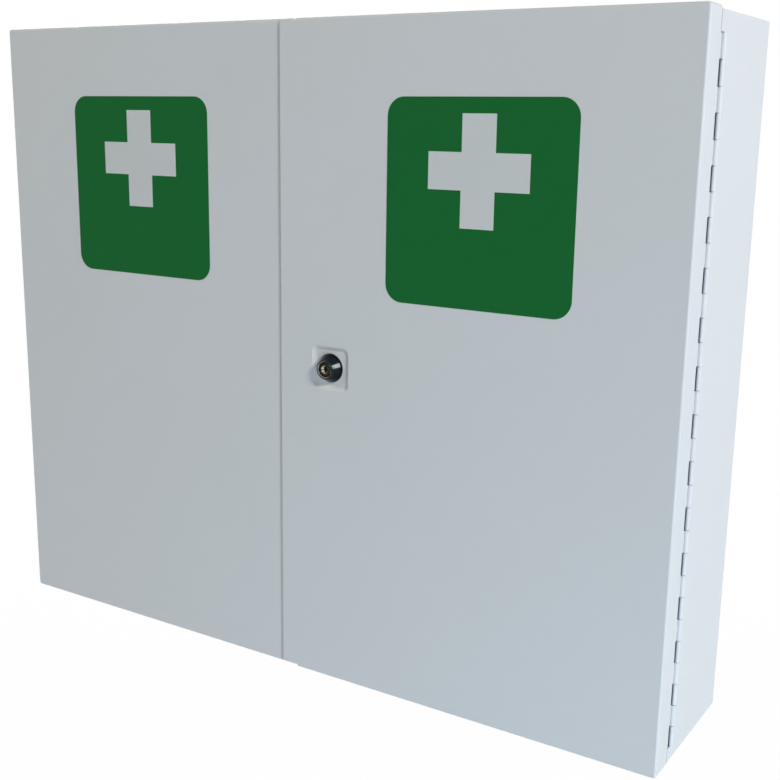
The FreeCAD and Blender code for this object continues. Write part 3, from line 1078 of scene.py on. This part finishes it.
@dataclass
class Studio:
    """Pale floor, soft light and the camera of the photograph."""

    floor_level: float = -1.15
    floor_reach: float = 7.0
    floor_sides: int = 96
    floor_fade: Pair = (1.0, 3.5)
    floor_white: float = 0.985
    floor_colour: Colour = (0.86, 0.87, 0.88)
    world_colour: Colour = (1.0, 0.97, 0.94)
    world_level: float = 0.03
    eye: Point = (0.6675, -1.0455, 0.2286)
    right: Point = (0.84418, 0.53586, 0.01475)
    down: Point = (0.13251, -0.18194, -0.97434)
    forward: Point = (-0.51943, 0.82447, -0.22459)
    lens: float = 53.93
    sensor: float = 36.0
    clip: Pair = (0.02, 60.0)
    lamps: Sequence[Lamp] = field(default_factory=lambda: (
        Lamp("key", (4.90, -2.46, 3.07), 1.0, 1.0, 217.4, (0.945, 0.984, 1.0)),
        Lamp("left_fill", (-2.60, -3.00, 2.60), 1.0, 1.0, 36.2, (1.0, 0.995, 0.855)),
        Lamp("low_fill", (0.90, -1.15, -0.86), 1.4, 0.6, 6.9, (0.449, 0.710, 1.0), (0.20, -0.16, -0.15)),
        Lamp("side_strip", (2.40, -0.235, 0.93), 0.07, 1.36, 7.36, (1.0, 0.94, 0.973), (0.041, -0.165, 0.0)),
        Lamp("side_fill", (3.20, 0.30, 0.60), 1.0, 1.0, 13.6, (0.521, 0.778, 1.0), (0.38, -0.08, 0.0)),
        Lamp("small_spot", (2.25, -2.46, 2.40), 0.3, 0.3, 3.0, (1.0, 0.98, 0.95)),
        Lamp("rear_fill", (-3.00, 2.60, 1.80), 1.4, 1.4, 60.0, (1.0, 0.99, 0.97)),
    ))

    def build(self) -> None:
        """Set the whole studio up."""
        bpy.context.scene.view_settings.view_transform = "Standard"
        self._world()
        self._floor()
        for lamp in self.lamps:
            lamp.hang()
        self._camera()

    @staticmethod
    def _seen(graph: Graph) -> Signal:
        """Tell the rays that show the background from those that carry light.

        Args:
            graph: The graph that gets the nodes.

        Returns:
            1 for a ray that shows it straight, mirrored or through glass.
        """
        kinds = ("Is Camera Ray", "Is Glossy Ray", "Is Transmission Ray")
        rays = [graph.node("ShaderNodeLightPath", output=kind) for kind in kinds]
        return (rays[0] + rays[1] + rays[2]).clamped()

    def _world(self) -> None:
        """White to look at, a softer level as light."""
        world = bpy.data.worlds.new("studio")
        world.use_nodes = True
        bpy.context.scene.world = world
        graph = Graph(world.node_tree, "ShaderNodeOutputWorld")
        light = {"Color": shade(self.world_colour), "Strength": self.world_level}
        plain = {"Color": (1.0, 1.0, 1.0, 1.0), "Strength": 1.0}
        lit = graph.node("ShaderNodeBackground", inputs=light)
        white = graph.node("ShaderNodeBackground", inputs=plain)
        graph.show(graph.node("ShaderNodeMixShader", inputs={0: self._seen(graph), 1: lit, 2: white}))

    def _floor(self) -> None:
        """Pale floor below the hung cabinet; it fades to white far away."""
        bpy.ops.mesh.primitive_circle_add(
            vertices=self.floor_sides,
            radius=self.floor_reach,
            fill_type="NGON",
            location=(0, 0, self.floor_level),
        )
        floor = bpy.context.active_object
        floor.name = "studio_floor"
        material = bpy.data.materials.new("studio_floor")
        material.use_nodes = True
        graph = Graph(material.node_tree, "ShaderNodeOutputMaterial")
        spot = graph.node("ShaderNodeTexCoord", output="Object")
        reach = graph.node("ShaderNodeVectorMath", {"operation": "LENGTH"}, {0: spot}, "Value")
        far = reach.ramp(*self.floor_fade)
        matt = graph.node("ShaderNodeBsdfDiffuse", inputs={"Color": shade(self.floor_colour)})
        white = graph.node("ShaderNodeEmission", inputs={"Strength": 1.0})
        share = self._seen(graph) * (self.floor_white + (1 - self.floor_white) * far)
        graph.show(graph.node("ShaderNodeMixShader", inputs={0: share, 1: matt, 2: white}))
        floor.data.materials.append(material)
        floor.select_set(False)

    def _camera(self) -> None:
        """Camera where the photograph was taken from."""
        bpy.ops.object.camera_add()
        camera = bpy.context.active_object
        axes = Matrix((Vector(self.right), -Vector(self.down), -Vector(self.forward))).transposed()
        camera.matrix_world = Matrix.Translation(self.eye) @ axes.to_4x4()
        camera.data.lens = self.lens
        camera.data.sensor_width = self.sensor
        camera.data.clip_start, camera.data.clip_end = self.clip
        bpy.context.scene.camera = camera
        camera.select_set(False)


def main() -> None:
    """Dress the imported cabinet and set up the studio."""
    logging.basicConfig(level=logging.INFO, format="%(name)s %(message)s")
    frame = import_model()
    bpy.ops.object.select_all(action="DESELECT")
    palette = Palette()
    CabinetFinishes(frame["nodes"], palette).dress()
    SafetySign("left_sign", Body.LEFT_DOOR, "left_door_panel", palette, centre_x=-0.1972).build()
    SafetySign(
        "right_sign", Body.RIGHT_DOOR, "right_door_panel", palette, centre_x=0.1941, centre_z=0.1593
    ).build()
    BoltKnobs(palette).build()
    LockHardware(palette).build()
    Studio().build()


if __name__ == "__main__":
    main()
